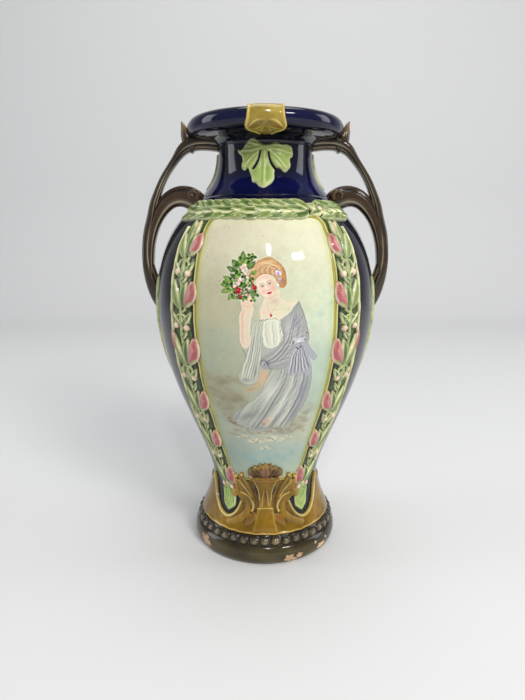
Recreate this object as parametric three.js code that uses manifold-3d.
// Two-handled glazed earthenware baluster vase with relief decoration.
// Millimetres, +Z up, origin on the resting plane at the centre of the foot.
// The front (with the portrait panel) faces -Y, the handles lie along X.
import * as THREE from 'three';
import { mergeVertices } from 'three/addons/utils/BufferGeometryUtils.js';
import Module from 'manifold-3d';

const wasm = await Module();
wasm.setup();

// ---------------------------------------------------------------- dimensions
const HEIGHT = 300;            // resting plane to the top of the lip
const SEGMENTS = 40;           // facets round each turned piece
const GAP = 0.32;              // clearance left between touching pieces
const FOOT_BASE_RADIUS = 50.8; // flat resting ring, outside
const FOOT_INNER_RADIUS = 42;  // flat resting ring, inside
const FOOT_RING_TOP = 13.4;
const BEAD_COUNT = 42;
const BEAD_BAND_TOP = 19.7;
const BEAD_RADIUS = 51.6;      // centre line of the row of beads, outside
const FLOOR_Z = 29;            // inside floor of the vase
const BODY_BOTTOM = 20;
const BODY_TOP = 250;
const HANDLE_DEPTH = 13;       // front to back
const BRANCH_DEPTH = 11.5;
const PANEL_HALF_ANGLE = 32.4; // degrees either side of the front
const GARLAND_ANGLE = 43.5;    // degrees from the front to a garland's stem
const RELIEF = 2.1;            // standing height of applied leaves and flowers

// outside of the cast body, neck and rim: [radius, height]
const BODY_OUTSIDE = [
  [46.2, 20], [43.0, 30], [40.2, 40], [39.2, 50], [41.2, 60], [45.6, 73],
  [54.9, 96], [64.0, 119], [71.4, 143], [75.2, 166], [75.6, 184], [73.9, 202],
  [69.6, 217], [62.6, 230.5], [53.9, 241], [45.0, 250]];
const NECK_OUTSIDE = [[44.7, 250.3], [41.2, 254], [37.7, 258], [34.2, 264],
  [32.4, 270.5], [31.9, 277], [32.6, 284]];
const RIM_OUTSIDE = [[32.7, 284.3], [36.0, 286.4], [43.0, 287.2], [48.6, 288.4],
  [51.5, 291.2], [52.2, 294.3], [51.4, 297.3], [49.2, 299.4], [47.0, 300]];
const RIM_INSIDE = [[44.6, 299.2], [43.4, 295.4], [39.6, 291.8], [29.4, 288.2], [27.2, 284.3]];
const BODY_INSIDE = [[40.0, 250], [53.2, 236], [65.4, 214], [70.4, 184],
  [68.6, 156], [58.4, 118], [40.8, 73], [34.4, 50], [33.0, 36], [25.0, FLOOR_Z]];
const NECK_INSIDE = [[27.0, 284], [26.9, 275], [29.0, 264], [39.7, 250.3]];

// ------------------------------------------------------------------- helpers
const rad = (deg) => deg * Math.PI / 180;

function solidOf(geometry) {
  const g = geometry.clone();
  for (const name of Object.keys(g.attributes)) if (name !== 'position') g.deleteAttribute(name);
  const merged = mergeVertices(g, 1e-4);
  const position = merged.attributes.position;
  const index = merged.index.array;
  const triangles = [];
  for (let i = 0; i < index.length; i += 3) {
    const [a, b, c] = [index[i], index[i + 1], index[i + 2]];
    if (a !== b && b !== c && c !== a) triangles.push(a, b, c);
  }
  let volume = 0;
  const p = (k) => new THREE.Vector3().fromBufferAttribute(position, k);
  for (let i = 0; i < triangles.length; i += 3) {
    volume += p(triangles[i]).dot(p(triangles[i + 1]).cross(p(triangles[i + 2])));
  }
  if (volume < 0) {
    for (let i = 0; i < triangles.length; i += 3) {
      [triangles[i], triangles[i + 1]] = [triangles[i + 1], triangles[i]];
    }
  }
  return new wasm.Manifold(new wasm.Mesh({
    numProp: 3,
    vertProperties: new Float32Array(position.array),
    triVerts: new Uint32Array(triangles),
  }));
}

function geometryOf(solid) {
  const mesh = solid.getMesh();
  const g = new THREE.BufferGeometry();
  const points = new Float32Array(mesh.numVert * 3);
  for (let i = 0; i < mesh.numVert; i++) {
    for (let k = 0; k < 3; k++) points[3 * i + k] = mesh.vertProperties[i * mesh.numProp + k];
  }
  g.setAttribute('position', new THREE.BufferAttribute(points, 3));
  g.setIndex(new THREE.BufferAttribute(new Uint32Array(mesh.triVerts), 1));
  g.computeVertexNormals();
  return g;
}

// a turned piece about Z from [radius, height] points; closed onto itself,
// or onto the axis where both ends lie on it
function turned(points, segments = SEGMENTS) {
  const first = points[0];
  const last = points[points.length - 1];
  const loop = points.map(([r, z]) => new THREE.Vector2(r, z));
  if (!(first[0] === 0 && last[0] === 0)) loop.push(new THREE.Vector2(first[0], first[1]));
  return solidOf(new THREE.LatheGeometry(loop, segments).rotateX(Math.PI / 2));
}

// parallel copy of an open profile, `distance` to its outside (mitred corners)
function offsetProfile(points, distance) {
  return points.map((point, i) => {
    const normals = [];
    for (const [a, b] of [[i - 1, i], [i, i + 1]]) {
      if (a < 0 || b >= points.length) continue;
      const dr = points[b][0] - points[a][0];
      const dz = points[b][1] - points[a][1];
      const length = Math.hypot(dr, dz);
      normals.push([dz / length, -dr / length]);
    }
    const n = normals.length === 2
      ? [normals[0][0] + normals[1][0], normals[0][1] + normals[1][1]] : normals[0];
    const k = normals.length === 2
      ? 1 / (1 + normals[0][0] * normals[1][0] + normals[0][1] * normals[1][1]) : 1;
    return [point[0] + n[0] * k * distance, point[1] + n[1] * k * distance];
  });
}

function slice(points, low, high) {
  const out = [];
  for (let i = 0; i + 1 < points.length; i++) {
    const [r0, z0] = points[i];
    const [r1, z1] = points[i + 1];
    const at = (z) => [r0 + (r1 - r0) * (z - z0) / (z1 - z0), z];
    if (z1 <= low || z0 >= high) continue;
    if (!out.length) out.push(z0 < low ? at(low) : [r0, z0]);
    out.push(z1 > high ? at(high) : [r1, z1]);
  }
  return out;
}

// skin that follows a profile between two offsets
function skin(profile, inner, outer) {
  return turned([...offsetProfile(profile, outer), ...offsetProfile(profile, inner).reverse()]);
}

function radiusAt(profile, z) {
  const points = profile;
  for (let i = 0; i + 1 < points.length; i++) {
    if (z <= points[i + 1][1]) {
      const k = (z - points[i][1]) / (points[i + 1][1] - points[i][1]);
      return points[i][0] + k * (points[i + 1][0] - points[i][0]);
    }
  }
  return points[points.length - 1][0];
}

// flat outline (tangential millimetres, height), driven outwards from the
// axis in the direction `azimuth` degrees round from the front
function cutter(outline, azimuth, depth = 110) {
  const shape = new THREE.Shape(outline.map(([s, z]) => new THREE.Vector2(s, z)));
  const g = new THREE.ExtrudeGeometry(shape, { depth, bevelEnabled: false });
  return solidOf(g.rotateX(Math.PI / 2).rotateZ(rad(azimuth)));
}

// outline moved outwards by `distance`
function grown(outline, distance) {
  const n = outline.length;
  let area = 0;
  for (let i = 0; i < n; i++) {
    const [x0, y0] = outline[i];
    const [x1, y1] = outline[(i + 1) % n];
    area += x0 * y1 - x1 * y0;
  }
  const sign = Math.sign(area);
  return outline.map((point, i) => {
    const before = outline[(i + n - 1) % n];
    const after = outline[(i + 1) % n];
    const edge = (a, b) => {
      const length = Math.hypot(b[0] - a[0], b[1] - a[1]) || 1;
      return [sign * (b[1] - a[1]) / length, -sign * (b[0] - a[0]) / length];
    };
    const n0 = edge(before, point);
    const n1 = edge(point, after);
    const k = 1 / Math.max(0.45, 1 + n0[0] * n1[0] + n0[1] * n1[1]);
    return [point[0] + (n0[0] + n1[0]) * k * distance, point[1] + (n0[1] + n1[1]) * k * distance];
  });
}

const mirrored = (outline) => outline.map(([s, z]) => [-s, z]).reverse();

// plate in the XZ plane, `depth` front to back, with softened edges
function plate(outline, depth) {
  const bevel = 1.6;
  const shape = new THREE.Shape(outline.map(([s, z]) => new THREE.Vector2(s, z)));
  const g = new THREE.ExtrudeGeometry(shape, {
    depth: depth - 2 * bevel, bevelEnabled: true, bevelThickness: bevel,
    bevelSize: bevel, bevelOffset: -bevel, bevelSegments: 1,
  });
  g.translate(0, 0, -(depth - 2 * bevel) / 2);
  return solidOf(g.rotateX(Math.PI / 2));
}

// ----------------------------------------------------------------- materials
const glaze = (color, roughness = 0.16) =>
  new THREE.MeshStandardMaterial({ color, roughness, metalness: 0 });
const COBALT = 0x141b4a;
const OCHRE = 0x9a6f1e;
const OLIVE = 0x3d3a24;
const UMBER = 0x2e2419;
const PALE_GREEN = 0xa9b878;
const LEAF_GREEN = 0x7f9a58;
const CREAM = 0xd5d8b4;
const AMBER = 0xb08a3a;

const vase = new THREE.Group();
function add(name, solid, color, roughness) {
  const mesh = new THREE.Mesh(geometryOf(solid), glaze(color, roughness));
  mesh.name = name;
  vase.add(mesh);
}

// ---------------------------------------------------------------------- foot
add('foot_ring', turned([
  [FOOT_INNER_RADIUS, 0], [FOOT_BASE_RADIUS, 0], [53.0, 2.2], [53.9, 6.4],
  [53.2, 10.6], [51.2, FOOT_RING_TOP], [36, FOOT_RING_TOP], [36, 8]]), OLIVE);

// row of beads: a ring whose rim swells BEAD_COUNT times
{
  const perBead = 4;
  const steps = BEAD_COUNT * perBead;
  const outline = [];
  for (let i = 0; i < steps; i++) {
    const a = 2 * Math.PI * i / steps;
    const swell = [1.3, 0.75, -0.7, 0.75][i % perBead];
    outline.push(new THREE.Vector2((BEAD_RADIUS - 1 + swell) * Math.cos(a), (BEAD_RADIUS - 1 + swell) * Math.sin(a)));
  }
  const bore = [];
  for (let i = 0; i < 24; i++) {
    const a = 2 * Math.PI * i / 24;
    bore.push(new THREE.Vector2(37 * Math.cos(a), 37 * Math.sin(a)));
  }
  const shape = new THREE.Shape(outline);
  shape.holes.push(new THREE.Path(bore));
  const low = FOOT_RING_TOP + GAP;
  const g = new THREE.ExtrudeGeometry(shape, { depth: BEAD_BAND_TOP - low, bevelEnabled: false });
  g.translate(0, 0, low);
  add('bead_band', solidOf(g), OLIVE);
}

// ------------------------------------------------- body, neck and rolled rim
add('body', turned([[0, BODY_BOTTOM], ...BODY_OUTSIDE, ...BODY_INSIDE, [0, FLOOR_Z]]), COBALT);
add('neck', turned([...NECK_OUTSIDE, ...NECK_INSIDE]), COBALT);
add('rim', turned([...RIM_OUTSIDE, ...RIM_INSIDE]), COBALT);

// everything turned, filled and grown by the clearance
const whole = [...BODY_OUTSIDE, ...NECK_OUTSIDE.slice(1), ...RIM_OUTSIDE.slice(1)];
const coreSolid = turned([[0, BODY_BOTTOM], ...offsetProfile(whole, GAP), [0, HEIGHT + GAP]]);

// ------------------------------------------------------------ relief outlines
const theta = (s, z, profile = BODY_OUTSIDE) => s / radiusAt(profile, z) * 180 / Math.PI;
// outline points at an angle round the body, as seen square on from `azimuth`
const seen = (list, azimuth = 0, profile = BODY_OUTSIDE) => list.map(([deg, z]) =>
  [radiusAt(profile, z) * Math.sin(rad(deg - azimuth)), z]);

const PALMETTE = [
  [-13.4, 22.3], [13.4, 22.3], [12.2, 30], [9.2, 35.5], [11.5, 40.5], [17, 45.5],
  [22.4, 52], [24.2, 58.6], [20, 61.6], [15.2, 59.8], [13.2, 63.6], [11.4, 70.4],
  [6.6, 73.6], [0, 75.2], [-6.6, 73.6], [-11.4, 70.4], [-13.2, 63.6], [-15.2, 59.8],
  [-20, 61.6], [-24.2, 58.6], [-22.4, 52], [-17, 45.5], [-11.5, 40.5], [-9.2, 35.5],
  [-12.2, 30]];

// U-shaped reserve in the foot collar, seen square on; open at the top
const RESERVE = [
  [-14, 26.8], [-6, 24.6], [4, 24.8], [11, 27.6], [15.4, 32.5], [16, 37],
  [12.6, 43], [10.5, 50], [12, 66], [-30, 66], [-30, 54], [-22.5, 44], [-19.6, 33]];

// collar: skin over the foot of the body, four U reserves and low side tongues
const COLLAR_TOP = 60;
{
  let collar = skin(slice(BODY_OUTSIDE, BODY_BOTTOM, COLLAR_TOP), GAP, 2.5);
  for (const azimuth of [-43, 137]) collar = collar.subtract(cutter(RESERVE, azimuth));
  for (const azimuth of [43, -137]) collar = collar.subtract(cutter(mirrored(RESERVE), azimuth));
  const aboveSide = [[-20, 46], [0, 48], [20, 46], [30, 80], [-30, 80]];
  for (const azimuth of [-90, 90]) collar = collar.subtract(cutter(aboveSide, azimuth));
  for (const azimuth of [0, 180]) collar = collar.subtract(cutter(grown(PALMETTE, GAP), azimuth));
  add('foot_collar', collar, OCHRE);
}
for (const [name, azimuth] of [['palmette_front', 0], ['palmette_back', 180]]) {
  const ground = skin(slice(BODY_OUTSIDE, BODY_BOTTOM, 80), GAP, 4.4);
  add(name, ground.intersect(cutter(PALMETTE, azimuth)), OCHRE);
}

// portrait panel, its moulded frame, laurel band
const PANEL_TOP = 234.6;
const PANEL_LOW = 61;
const heights = BODY_OUTSIDE.map(([, z]) => z).filter((z) => z > PANEL_LOW + 2 && z < PANEL_TOP - 8);
const sideRun = (extra, low, top) => [low, ...heights, top - 5].map((z) => [PANEL_HALF_ANGLE + theta(extra, z), z]);
function panelOutline(extra, low, top) {
  const right = seen(sideRun(extra, low, top));
  const k = PANEL_HALF_ANGLE + theta(extra, top);
  right.push(...seen([[k - 1.2, top - 1.6], [k - 5, top]]));
  return [...right, ...right.map(([s, z]) => [-s, z]).reverse()];
}
const panelShape = panelOutline(0, PANEL_LOW, PANEL_TOP);
const frameInner = panelOutline(0.4, PANEL_LOW - 4, PANEL_TOP + 0.4);
const frameOuter = panelOutline(2.2, PANEL_LOW + 3, PANEL_TOP + 1.9);
// overlapping laurel leaves: a scalloped band over the shoulder
const laurelShape = (() => {
  const low = [];
  const high = [];
  for (let i = 0; i <= 26; i++) {
    const deg = -63 + 126 * i / 26;
    low.push([deg, 237.2 + (i % 2 ? 0.9 : 0)]);
    high.push([deg - 1.6, 247.4 + (i % 2 ? 1.6 : 0)]);
  }
  return seen([...low, ...high.reverse()]);
})();
for (const [side, azimuth] of [['front', 0], ['back', 180]]) {
  const keepPalmette = cutter(grown(PALMETTE, GAP), azimuth);
  const ground = skin(slice(BODY_OUTSIDE, PANEL_LOW - 8, 246), GAP, 1.5);
  add(`panel_${side}`, ground.intersect(cutter(panelShape, azimuth)).subtract(keepPalmette), CREAM, 0.12);
  const moulding = skin(slice(BODY_OUTSIDE, PANEL_LOW - 8, 246), GAP, RELIEF);
  add(`panel_frame_${side}`, moulding.intersect(cutter(frameOuter, azimuth))
    .subtract(cutter(frameInner, azimuth)).subtract(keepPalmette), AMBER);
  const shoulder = skin(slice(BODY_OUTSIDE, 236.4, BODY_TOP), GAP, 3.0);
  add(`laurel_${side}`, shoulder.intersect(cutter(laurelShape, azimuth)), PALE_GREEN);
}

// garlands: a stem with tulips towards the panel and leaves on the outside
const garlandShape = (() => {
  const inner = [];
  const outer = [];
  const step = 8.6;
  const count = 24;
  for (let i = 0; i <= count; i++) {
    const z = 29 + step * i;
    const swell = [1, 0.9, 0.45, 0.6][i % 4];
    const narrow = z > 60 ? 1 : 0.62 + 0.38 * (z - 29) / 31;
    const lean = z > 118 ? -0.7 : z > 60 ? 1.6 : 1.6 - 6.2 * (60 - z) / 31;
    inner.push([lean - 6.7 * swell * narrow, z]);
    outer.push([lean + (7.6 - 2.6 * (1 - swell)) * narrow, z - 2]);
  }
  return [...inner.reverse(), ...outer];
})();
// at the panel edge a garland keeps clear of the moulded frame
const clearOfFrame = panelOutline(2.7, PANEL_LOW - 40, PANEL_TOP + 40);
for (const [name, azimuth, flip] of [
  ['garland_front_right', GARLAND_ANGLE, false], ['garland_front_left', -GARLAND_ANGLE, true],
  ['garland_back_right', 180 - GARLAND_ANGLE, true], ['garland_back_left', 180 + GARLAND_ANGLE, false]]) {
  const ground = skin(slice(BODY_OUTSIDE, 25, 236.2), GAP, 3.0);
  const outline = flip ? mirrored(garlandShape) : garlandShape;
  const facing = name.includes('front') ? 0 : 180;
  add(name, ground.intersect(cutter(outline, azimuth)).subtract(cutter(clearOfFrame, facing)), LEAF_GREEN);
}

// neck leaves: three lobes front and back, a narrow strip at each side
const NECK_LEAF = [
  [0, 255.4], [3.4, 256.6], [5.6, 261], [5.2, 266.2], [7.6, 264.4], [12.2, 263.6],
  [13.2, 267], [16, 270.4], [15.2, 274.6], [16.6, 279.4], [13.4, 283], [7, 285.2],
  [2.2, 282.6], [0, 279.6], [-2.2, 282.6], [-7, 285.2], [-13.4, 283], [-16.6, 279.4],
  [-15.2, 274.6], [-16, 270.4], [-13.2, 267], [-12.2, 263.6], [-7.6, 264.4],
  [-5.2, 266.2], [-5.6, 261], [-3.4, 256.6]];
for (const [side, azimuth] of [['front', 0], ['back', 180]]) {
  const ground = skin(slice(NECK_OUTSIDE, 251, 283.2), GAP, 2.6);
  add(`neck_leaf_${side}`, ground.intersect(cutter(NECK_LEAF, azimuth)), PALE_GREEN);
}
const NECK_SIDE_LEAF = [[0, 254.8], [3.2, 259], [4.2, 267], [3.4, 275], [0, 279.4],
  [-3.4, 275], [-4.2, 267], [-3.2, 259]];
for (const [side, azimuth] of [['left', -90], ['right', 90]]) {
  const ground = skin(slice(NECK_OUTSIDE, 252, 281), GAP, 1.8);
  add(`neck_side_leaf_${side}`, ground.intersect(cutter(NECK_SIDE_LEAF, azimuth)), PALE_GREEN);
}

// cartouches that wrap the rim from the top of the lip down to a point
const CARTOUCHE = [
  [-11.6, 287.0], [-11.0, 290], [-10.0, 296], [-10.2, 304], [10.2, 304], [10.0, 296],
  [11.0, 290], [11.6, 287.0], [7, 285.8], [3.4, 285.2], [-3.4, 285.2], [-7, 285.8]];
for (const [side, azimuth] of [['front', 0], ['back', 180]]) {
  const ground = skin(RIM_OUTSIDE.slice(2), GAP, 1.5);
  add(`rim_cartouche_${side}`, ground.intersect(cutter(CARTOUCHE, azimuth)), AMBER);
}

// ------------------------------------------------------------------- handles
// right-hand outlines in the XZ plane; the left is their mirror image
const STRAP = [
  [53.0, 298.4], [55.6, 299.7], [58.2, 297.4], [56.8, 293.8], [55.9, 289.4],
  [57.8, 283.8], [61.4, 278.2], [66.6, 271.3], [71.6, 264.0], [76.0, 255.4],
  [79.6, 247.2], [82.6, 237.8], [85.2, 227.4], [86.6, 217.2], [87.0, 208.0],
  [86.4, 199.6], [84.9, 190.0], [82.3, 181.0], [78.6, 172.6], [72, 166],
  [66, 172], [66, 197], [74.8, 199.8], [77.7, 202.6], [79.1, 207.2],
  [79.3, 219.6], [78.1, 227.0], [76.2, 233.2], [74.0, 239.4], [71.4, 248.4],
  [68.4, 257.2], [63.9, 265.6], [57.4, 274.8], [49.6, 280.2], [38.4, 281.2],
  [28, 279], [28, 292], [44, 292], [50, 294]];
const BRANCH = [
  [77.4, 231.6], [73.6, 237.6], [67.7, 242.0], [61.3, 244.5], [55.3, 243.9],
  [50.8, 240.6], [44, 240], [40, 250], [44.6, 256.0], [49.2, 258.5],
  [55.3, 259.3], [61.4, 258.4], [66.8, 255.4], [71.4, 250.4], [76.4, 241.6]];
for (const [side, flip] of [['left', true], ['right', false]]) {
  const strapOutline = flip ? mirrored(STRAP) : STRAP;
  const branchOutline = flip ? mirrored(BRANCH) : BRANCH;
  const strap = plate(strapOutline, HANDLE_DEPTH).subtract(coreSolid);
  const largestStrap = strap.decompose().reduce((a, b) => (a.volume() > b.volume() ? a : b));
  add(`handle_${side}_strap`, largestStrap, UMBER);
  const strapRoom = plate(grown(strapOutline, GAP), HANDLE_DEPTH + 2);
  const laurelRoom = skin(slice(BODY_OUTSIDE, 236.4, BODY_TOP), 0, 3.0 + GAP);
  const laurelBoth = laurelRoom.intersect(cutter(grown(laurelShape, GAP), 0))
    .add(laurelRoom.intersect(cutter(grown(laurelShape, GAP), 180)));
  const branch = plate(branchOutline, BRANCH_DEPTH).subtract(coreSolid).subtract(strapRoom).subtract(laurelBoth);
  const largest = branch.decompose().reduce((a, b) => (a.volume() > b.volume() ? a : b));
  add(`handle_${side}_branch`, largest, UMBER);

  // leaf that runs down the flank from under the handle
  const SIDE_LEAF = [[0, 118], [3.4, 128], [6, 142], [8.6, 156], [9.6, 170], [12.4, 180],
    [11.6, 192], [8.6, 204], [-8.6, 204], [-11.6, 192], [-12.4, 180], [-9.6, 170],
    [-8.6, 156], [-6, 142], [-3.4, 128]];
  const ground = skin(slice(BODY_OUTSIDE, 110, 215), GAP, 2.4);
  add(`side_leaf_${side}`, ground.intersect(cutter(SIDE_LEAF, flip ? -90 : 90))
    .subtract(strapRoom), LEAF_GREEN);
}

export default vase;
